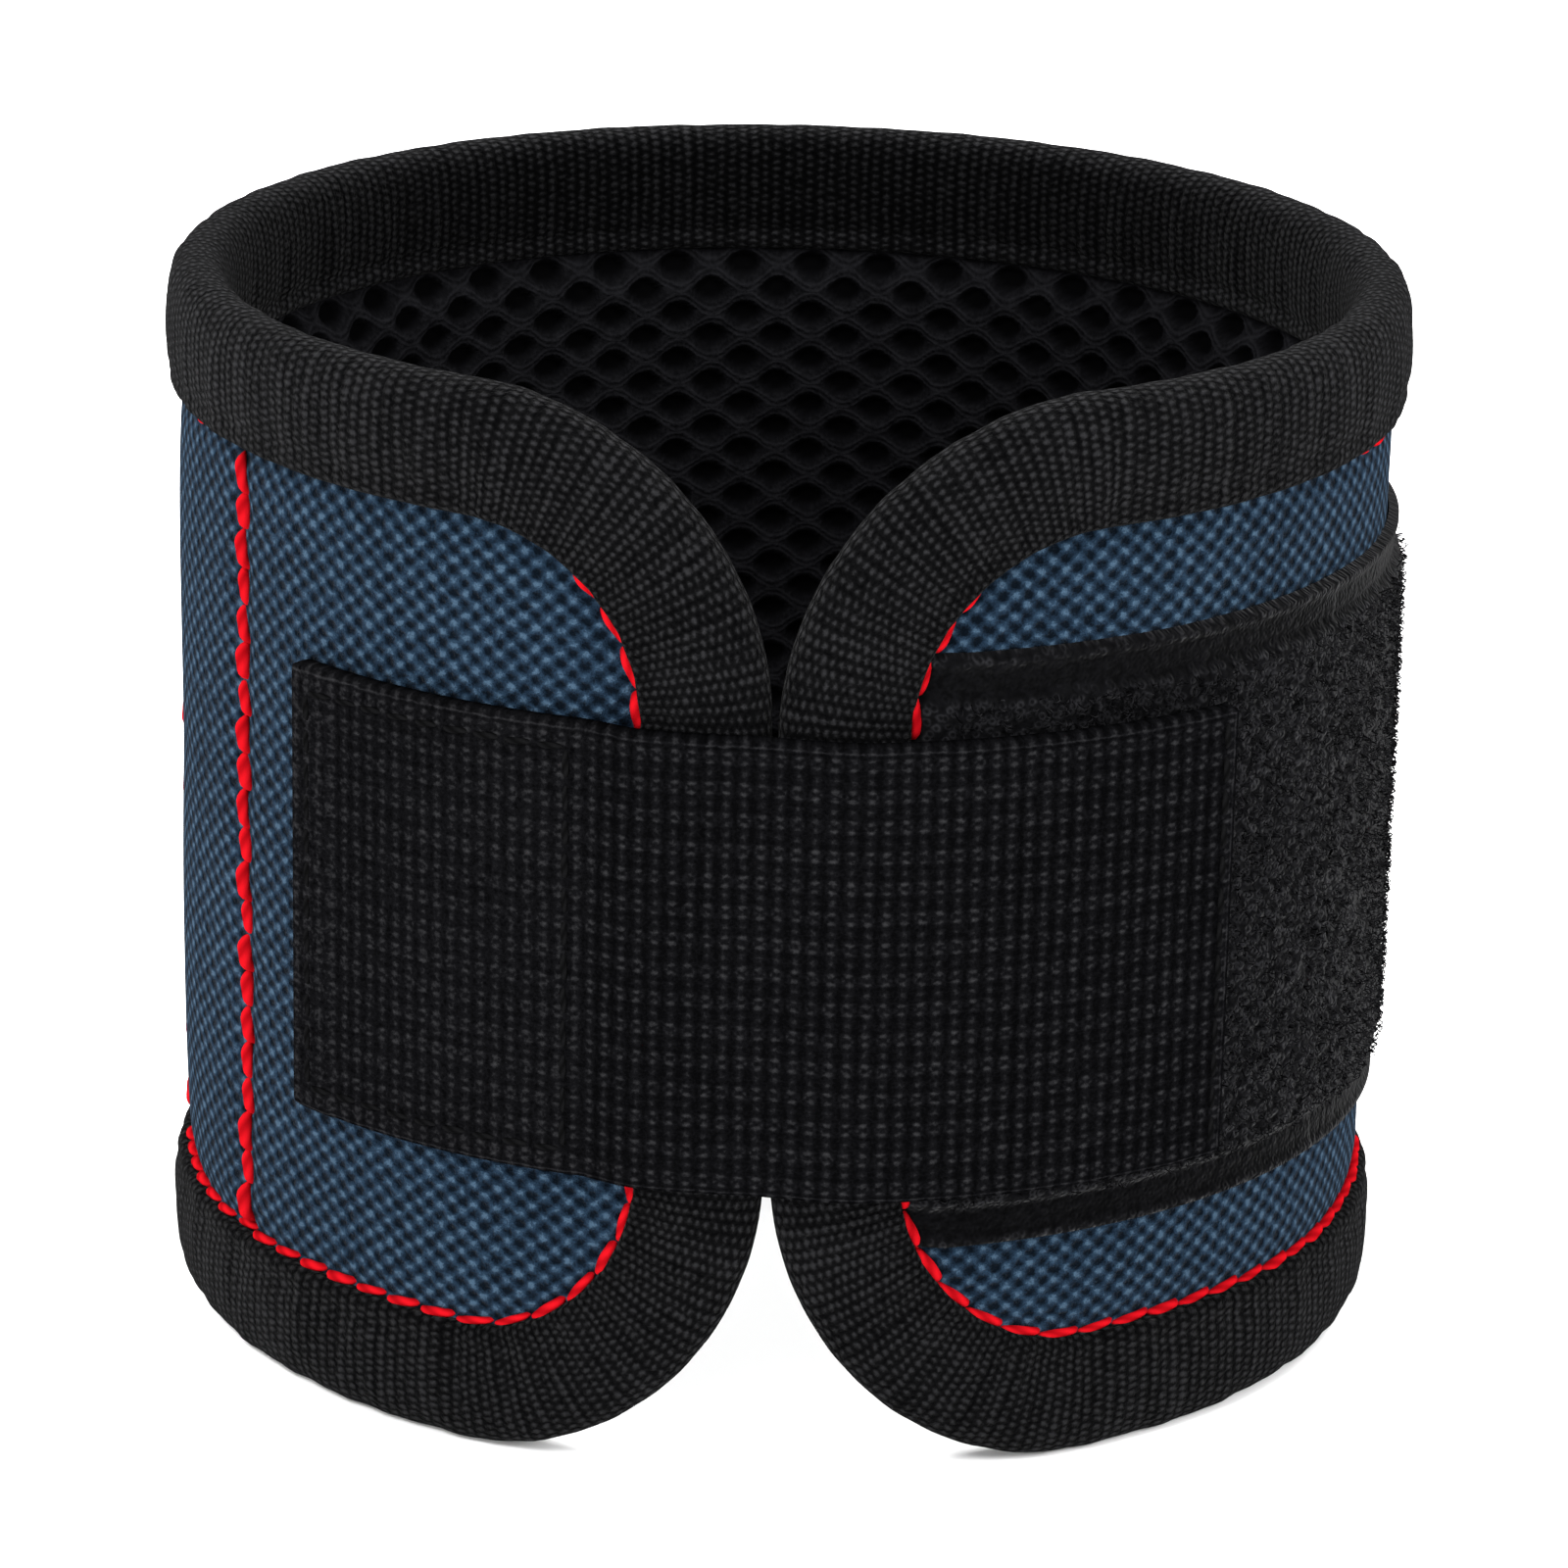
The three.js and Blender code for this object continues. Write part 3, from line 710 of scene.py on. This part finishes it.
def stitches(centres, directions, size, depth, slant, plump=1.0):
    """centres (n, 2) on the flat cloth, unit directions, size as length, width and height, times plump."""
    rings, columns = STITCH_GRID
    a = np.linspace(-1, 1, rings)[:, None]
    b = np.linspace(0, 2 * np.pi, columns, endpoint=False)[None, :]
    girth = np.sqrt(np.clip(1 - np.abs(a) ** 4, 0.02, 1))
    twist = np.cos(2 * (b + STITCH_TWIST * a))
    girth = girth * (1 + 0.07 * twist)
    count = len(centres)
    uneven = (plump * (0.85 + 0.3 * chance.random(count))).reshape(-1, 1, 1)
    x = a * size[0] / 2 + 0 * b
    y = girth * np.cos(b) * size[1] / 2 * uneven
    z = (girth * np.sin(b) / 2 - 0.35 + 0.6 * np.abs(a) ** 3) * size[2] * uneven
    turn = slant * (0.7 + 0.6 * chance.random((count, 1, 1)))
    stretch = 0.94 + 0.12 * chance.random((count, 1, 1))
    x1 = x * np.cos(turn) * stretch - y * np.sin(turn)
    y1 = x * np.sin(turn) * stretch + y * np.cos(turn)
    along = directions[:, None, None, :]
    cross = np.stack([-directions[:, 1], directions[:, 0]], -1)[:, None, None, :]
    flat = np.empty((count, rings, columns, 3))
    flat[..., :2] = centres[:, None, None, :] + x1[..., None] * along + y1[..., None] * cross
    flat[..., 2] = z + np.asarray(depth).reshape(-1, 1, 1)
    faces = grid_faces(rings, columns, closed=True)
    faces = (faces[None] + (np.arange(count) * rings * columns)[:, None, None]).reshape(-1, 4)
    # Painted shade in the grooves of the twist
    shade = np.broadcast_to(0.62 + 0.38 * twist, (count, rings, columns))
    return flat.reshape(-1, 3), faces[:, ::-1], flat[..., :2].reshape(-1, 2), shade.reshape(-1)


SEAM_STITCH = (3.95, 0.78, 0.85)
SEAM_PITCH = 3.6
SEAM_CLEAR = 0.1
SEAM_TUCK = 0.7
SEAM_SHOWS = (54.0, 66.0)
SEAM_SLANT = 0.12
TIP_BEND = (8, 22)
TIP_PLUMP = 0.4
ROW_STITCH = (3.6, 1.3, 1.05)
ROW_PITCH = 3.1
ROW_SLANT = 0.2
ROW_TO_SEAM = 0.8
seam = Edge(SEAM_LINE + SEAM_CLEAR)
seam_count = int(seam.length / SEAM_PITCH)
seam_s = (np.arange(seam_count) + 0.5) * seam.length / seam_count
seam_at, seam_into = seam.at(np.concatenate([seam_s, -seam_s]))
seam_along = np.stack([-seam_into[:, 1], seam_into[:, 0]], -1)

# At the front the binding's upper edge covers the seam. Round the ends the stitches are plumper.
from_tip = np.minimum(seam_at[:, 0], LENGTH - seam_at[:, 0])
straight = smooth(from_tip, *TIP_BEND)
covered = straight * (1 - smooth(from_tip, *SEAM_SHOWS)) * (seam_at[:, 1] > 0)
seam_at -= SEAM_TUCK * covered[:, None] * seam_into
seam_plump = 1 + TIP_PLUMP * (1 - straight)
row_half = half - SEAM_LINE - ROW_TO_SEAM
row_count = int(2 * row_half / ROW_PITCH)
row_v = (np.arange(row_count) + 0.5) / row_count * 2 * row_half - row_half
row_at = np.concatenate([np.stack([np.full(row_count, row), row_v], -1) for row in rows])
row_along = np.tile([0.0, 1.0], (len(row_at), 1))
row_plump = np.ones(len(row_at))
seams = (
    (seam_at, seam_along, SEAM_STITCH, SEAM_SLANT, seam_plump),
    (row_at, row_along, ROW_STITCH, ROW_SLANT, row_plump),
)
for k, (start, end) in enumerate(lengths):
    parts = []
    for at, along, size, slant, plump in seams:
        mine = (at[:, 0] >= start) & (at[:, 0] < end)
        depth = shell_depth(at[mine, 0], at[mine, 1])
        parts.append(stitches(at[mine], along[mine], size, depth, slant, plump[mine]))
    piece = make(f"red_stitches_{k}", *joined(parts), red_thread)
    follow(piece)
    for i, row in enumerate(rows):
        if start <= row < end:
            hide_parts(f"stitch_row_{i + 1}")

# Loop pad: a rolled selvedge along either side, a dark border, a sewn line, and pile between them.
PAD_INSET = 9.8
SELVEDGE = 1.2
PAD_SLOPE = (10.4, 13.0)
PAD_FACE = 0.3
PAD_DROP = 0.7
PILE_RISE = 0.6
PILE_LUMPS = 0.12
PAD_STEP = 0.5
PAD_COLUMNS = 127
PAD_TUCK = 0.6


def pad_half(u):
    return np.minimum(PAD_HALF, half_width(u, PAD_INSET))


for k, (start, end) in enumerate(lengths):
    if start > pad_end:
        continue
    low, high = max(start, PAD_INSET), min(end, pad_end)
    us, under = with_flap(low, high, PAD_STEP, end <= pad_end)
    across = np.linspace(-1, 1, PAD_COLUMNS)
    u = np.repeat(us[:, None], len(across), 1)
    v = pad_half(u) * across
    border = PAD_HALF - np.abs(v)
    closing = np.minimum(border, pad_end - u)
    pile = smooth(border, PAD_BORDER - 0.3, PAD_BORDER + 0.9) * smooth(pad_end - u, 0.6, 2.2)
    tucked = smooth(edge_distance(u, v), *PAD_SLOPE)
    roll = np.exp(-(((closing - SELVEDGE / 2) / (SELVEDGE / 2)) ** 4))
    lumps = PILE_LUMPS * chance.standard_normal(u.shape) * pile
    d = PAD_FACE + PAD_DROP * (1 - smooth(closing, 0.0, 0.4)) - 0.3 * roll
    d = d - PILE_RISE * pile * tucked + lumps
    d += PAD_DROP * (1 - tucked) + 0.2 * np.exp(-(((border - PAD_BORDER) / 0.4) ** 2))
    d += PAD_TUCK * under
    ridges = 0.5 + 0.5 * np.cos(2 * np.pi * u / TAPE_RIB)
    shade = np.where(closing < SELVEDGE, 0.35 + 0.2 * ridges, 0.22 + 0.3 * pile)
    flat = np.stack([u, v, d], -1)
    piece = make(f"loop_pad_cloth_{k}", flat, grid_faces(*u.shape), np.stack([u, v], -1), shade, pile_cloth)
    follow(piece)
    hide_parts(f"loop_pad_{k + 1}")


def hairs(paths, sides, radius):
    """Thin round hairs along paths (n, m, 3). sides (n, 2) are level directions square to them."""
    count, steps, _ = paths.shape
    corner = np.arange(3) * 2 * np.pi / 3
    flat = np.repeat(paths[:, :, None, :], 3, 2)
    flat[..., :2] += radius * np.cos(corner)[None, None, :, None] * sides[:, None, None, :]
    flat[..., 2] += radius * np.sin(corner)
    faces = grid_faces(steps, 3, closed=True)
    faces = (faces[None] + (np.arange(count) * steps * 3)[:, None, None]).reshape(-1, 4)
    shade = np.repeat(chance.random(count), steps * 3)
    return flat.reshape(-1, 3), faces, flat[..., :2].reshape(-1, 2), shade


# Curls of the pile, each a bent hair
CURLS_PER_MM2 = 2.5
CURL_RADIUS = 0.06
CURL_STEPS = 4
CURLS_START = 14.0
CURLS_INSET = 13.0
PILE_MARGIN = (1.6, 0.4)


def curls(u, v):
    count = len(u)
    t = np.linspace(0, 1, CURL_STEPS)[None, :]
    heading = chance.random((count, 1)) * 2 * np.pi
    reach = 0.35 + 0.45 * chance.random((count, 1))
    height = 0.35 + 0.45 * chance.random((count, 1))
    bow = chance.standard_normal((count, 1)) * 0.2
    x = reach * (t - 0.5)
    y = bow * np.sin(np.pi * t)
    paths = np.empty((count, CURL_STEPS, 3))
    paths[..., 0] = u[:, None] + x * np.cos(heading) - y * np.sin(heading)
    paths[..., 1] = v[:, None] + x * np.sin(heading) + y * np.cos(heading)
    paths[..., 2] = -0.2 - height * np.sin(np.pi * t * (0.75 + 0.25 * chance.random((count, 1))))
    return hairs(paths, np.concatenate([-np.sin(heading), np.cos(heading)], 1), CURL_RADIUS)


for k, (start, end) in enumerate(lengths):
    low, high = max(start, CURLS_START), min(end, pad_end - PILE_MARGIN[0])
    if low > high:
        continue
    pile_half = PAD_HALF - PAD_BORDER - PILE_MARGIN[1]
    count = int((high - low) * 2 * pile_half * CURLS_PER_MM2)
    u = low + (high - low) * chance.random(count)
    v = pile_half * (2 * chance.random(count) - 1)
    clear = edge_distance(u, v) > CURLS_INSET
    piece = make(f"pile_curls_{k}", *curls(u[clear], v[clear]), curl_fibre)
    follow(piece)


# Strap: webbing, sewn down at its root, over the binding and on over the loop pad
SEWN_DEPTH = 0.75
BINDING_DEPTH = -0.5
HOOK_DEPTH = -2.1
CLIMB_TO_BINDING = (302.5, 308.5)
CLIMB_TO_HOOKS = (316, 326)
STRAP_STEP = 0.4
STRAP_COLUMNS = 97
STRAP_CORNER = 1.2
HEM = 5.0
HEM_RISE = 0.3


def strap_underside(u):
    lifted = SEWN_DEPTH + (BINDING_DEPTH - SEWN_DEPTH) * smooth(u, *CLIMB_TO_BINDING)
    return lifted + (HOOK_DEPTH - BINDING_DEPTH) * smooth(u, *CLIMB_TO_HOOKS)


def strap_face(u):
    """Depth of the strap's outer face, with a hem at its root."""
    return strap_underside(u) - STRAP_THICK - HEM_RISE * (1 - smooth(u - strap_start, HEM - 0.8, HEM))


def strap_part(start, end):
    us = spaced(start, end, STRAP_STEP)
    columns = STRAP_COLUMNS
    across = np.linspace(-1, 1, columns)
    u = np.repeat(us[:, None], columns, 1)
    corner = np.minimum(STRAP_CORNER, np.minimum(us - strap_start, STRAP_END - us))
    halves = STRAP_HALF - 0.5 * (STRAP_CORNER - corner) ** 2
    v = halves[:, None] * across
    ends = smooth(np.minimum(u - strap_start, STRAP_END - u), -0.4, 0.5)
    rim = smooth(STRAP_HALF - np.abs(v), -0.4, 0.6)
    full = ends * (0.35 + 0.65 * rim)
    sewn = np.exp(-(((u - PEEL_FOLD + 1.5) / 0.7) ** 2))
    middle = strap_underside(u) - STRAP_THICK / 2
    top = middle + (strap_face(u) - middle) * full + 0.25 * sewn * rim
    bottom = middle + STRAP_THICK / 2 * full
    past_hem = smooth(u - strap_start, HEM - 0.6, HEM + 0.6)
    shade = 0.5 * past_hem + 0.5 * smooth(u, PEEL_FOLD - 2, PEEL_FOLD)
    flat = np.concatenate([np.stack([u, v, top], -1), np.stack([u, v, bottom], -1)[:, ::-1]], 1)
    shades = np.concatenate([shade, np.ones(u.shape)], 1)
    faces = slab_faces(len(us), columns)
    return flat.reshape(-1, 3), faces, flat[..., :2].reshape(-1, 2), shades.reshape(-1)


PEEL_BEND = 2.5
BRIDGE_START = 313.0
TAIL_START = 337.0
strap_cuts = (strap_start, PEEL_FOLD - PEEL_BEND, BRIDGE_START, TAIL_START, STRAP_END)
strap_pieces = [
    make(f"strap_webbing_{i}", *strap_part(a, b), webbing_cloth)
    for i, (a, b) in enumerate(zip(strap_cuts, strap_cuts[1:]))
]
follow(strap_pieces[0])
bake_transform(strap_pieces[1])
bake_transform(strap_pieces[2])
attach(strap_pieces[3], "strap_tail")
for i, node in ((0, "strap_root"), (2, "strap_bridge"), (3, "strap_tail")):
    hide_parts(node)

# Black seams: a box on the strap's root and a line across its free end
BOX_INSET = 2.2
BOX_TO_FOLD = 3.0
END_SEAM = 1.4
STRAP_STITCH = (2.4, 0.5, 0.4)
STRAP_STITCH_PITCH = 2.7
STRAP_STITCH_SINK = 0.08
STRAP_SLANT = 0.05


def seam_line(start, end):
    """Middles and directions of the stitches on a straight line of the flat cloth."""
    start, end = np.array(start, float), np.array(end, float)
    run = np.linalg.norm(end - start)
    count = int(run / STRAP_STITCH_PITCH)
    share = ((np.arange(count) + 0.5) / count)[:, None]
    return start + (end - start) * share, np.tile((end - start) / run, (count, 1))


def strap_seams(name, corners):
    lines = [seam_line(a, b) for a, b in zip(corners, corners[1:])]
    at, along = (np.concatenate(parts) for parts in zip(*lines))
    depth = strap_face(at[:, 0]) + STRAP_STITCH_SINK
    return make(name, *stitches(at, along, STRAP_STITCH, depth, STRAP_SLANT), black_thread)


box_low, box_high = strap_start + BOX_INSET, PEEL_FOLD - BOX_TO_FOLD
box_half = STRAP_HALF - BOX_INSET
near_low, far_low = (box_low, -box_half), (box_high, -box_half)
near_high, far_high = (box_low, box_half), (box_high, box_half)
box_seam = strap_seams("strap_box_seam", [near_low, far_low, far_high, near_high, near_low])
follow(box_seam)
end_line = STRAP_END - END_SEAM
end_seam = strap_seams("strap_end_seam", [(end_line, -STRAP_HALF + 1), (end_line, STRAP_HALF - 1)])
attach(end_seam, "strap_tail")

# Hook tape under the strap's free end
HOOK_BACK = -2.0
HOOK_FACE = -1.4
HOOK_STEP = 1.0
HOOK_COLUMNS = 35
hook_end = STRAP_END - HOOK_FROM_END
hook_us = spaced(hook_end - HOOK_LENGTH, hook_end, HOOK_STEP)
hook_v = np.linspace(-HOOK_HALF, HOOK_HALF, HOOK_COLUMNS)
u, v = np.meshgrid(hook_us, hook_v, indexing="ij")
top = np.stack([u, v, np.full(u.shape, HOOK_BACK)], -1)
bottom = np.stack([u, v, np.full(u.shape, HOOK_FACE)], -1)[:, ::-1]
flat = np.concatenate([top, bottom], 1)
faces = slab_faces(len(hook_us), len(hook_v))
hook_tape = make("hook_tape_cloth", flat, faces, flat[..., :2], 1, hook_plastic)
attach(hook_tape, "strap_tail")
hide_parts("hook_tape")

# Hooks, bent one way or the other
HOOK_PITCH = (1.5, 1.3)
HOOK_MARGIN = (1, 0.5)
HOOK_RADIUS = 0.12
HOOK_STEPS = 7
HOOK_TURN = 1.35 * np.pi
HOOK_REACH = 0.28
HOOK_RISE = 0.55
us = np.arange(hook_us[0] + HOOK_MARGIN[0], hook_us[-1] - HOOK_MARGIN[1], HOOK_PITCH[0])
vs = np.arange(hook_v[0] + HOOK_MARGIN[0], hook_v[-1] - HOOK_MARGIN[1], HOOK_PITCH[1])
at = np.stack(np.meshgrid(us, vs, indexing="ij"), -1).reshape(-1, 2)
lean = np.where(chance.random(len(at)) < 0.5, -1.0, 1.0)
bend = np.linspace(0, HOOK_TURN, HOOK_STEPS)[None, :]
paths = np.empty((len(at), HOOK_STEPS, 3))
paths[..., 0] = at[:, :1] + lean[:, None] * HOOK_REACH * (1 - np.cos(bend))
paths[..., 1] = at[:, 1:]
rise = HOOK_RISE * np.sin(np.minimum(bend, np.pi / 2))
paths[..., 2] = HOOK_FACE - 0.1 + rise - 0.3 * np.maximum(0, bend - 2.2)
hooks = make("hooks", *hairs(paths, np.tile([0.0, 1.0], (len(at), 1)), HOOK_RADIUS), hook_plastic)
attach(hooks, "strap_tail")

# Magnets, as the solids have them
for name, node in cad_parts.items():
    if name.startswith("magnet"):
        node.data.materials.clear()
        node.data.materials.append(nickel)

# White floor and white light round it, sizes in metres
FLOOR = 4
floor_corners = [(-FLOOR, -FLOOR, 0), (FLOOR, -FLOOR, 0), (FLOOR, FLOOR, 0), (-FLOOR, FLOOR, 0)]
floor_mesh = bpy.data.meshes.new("floor")
floor_mesh.from_pydata(floor_corners, [], [(0, 1, 2, 3)])
floor = bpy.data.objects.new("floor", floor_mesh)
floor_mesh.materials.append(plain("white_floor", (1, 1, 1, 1), 0.9))
bpy.context.scene.collection.objects.link(floor)

world = bpy.data.worlds.new("white_room")
world.use_nodes = True
world.node_tree.nodes["Background"].inputs["Color"].default_value = (1, 1, 1, 1)
world.node_tree.nodes["Background"].inputs["Strength"].default_value = 1.0
bpy.context.scene.world = world


def soft_light(name, place, target, size, power):
    lamp = bpy.data.lights.new(name, "AREA")
    lamp.shape = "DISK"
    lamp.size = size
    lamp.energy = power
    obj = bpy.data.objects.new(name, lamp)
    obj.location = place
    obj.rotation_euler = (Vector(target) - Vector(place)).to_track_quat("-Z", "Y").to_euler()
    bpy.context.scene.collection.objects.link(obj)


soft_light("key", (-0.35, -0.6, 0.75), (0, 0, 0.05), 0.35, 7.5)
soft_light("low", (-0.5, -0.6, 0.15), (0, 0, 0.04), 0.4, 3.5)
soft_light("fill", (0.6, -0.45, 0.45), (0, 0, 0.05), 0.4, 6)
soft_light("top", (0.05, 0.2, 0.9), (0, 0, 0.05), 0.4, 7)
soft_light("back_left", (-0.6, 0.5, 0.45), (0, 0, 0.05), 0.4, 8)
soft_light("back_right", (0.5, 0.65, 0.5), (0, 0, 0.05), 0.4, 8)

# Camera, above the ring and slightly rolled
CAMERA_DISTANCE = 0.56
CAMERA_TURN = math.radians(0.5)
CAMERA_RISE = math.radians(19)
CAMERA_ROLL = math.radians(1.2)
CAMERA_ANGLE = math.radians(13.77)
AIM = Vector((0.0001, 0.0014, 0.043))
lens = bpy.data.cameras.new("camera")
lens.angle = CAMERA_ANGLE
camera = bpy.data.objects.new("camera", lens)
level = CAMERA_DISTANCE * math.cos(CAMERA_RISE)
height = CAMERA_DISTANCE * math.sin(CAMERA_RISE)
camera.location = AIM + Vector((level * math.sin(CAMERA_TURN), -level * math.cos(CAMERA_TURN), height))
aimed = (AIM - camera.location).to_track_quat("-Z", "Y")
camera.rotation_euler = (aimed @ Quaternion((0, 0, 1), CAMERA_ROLL)).to_euler()
bpy.context.scene.collection.objects.link(camera)
bpy.context.scene.camera = camera
bpy.context.scene.view_settings.view_transform = "Standard"
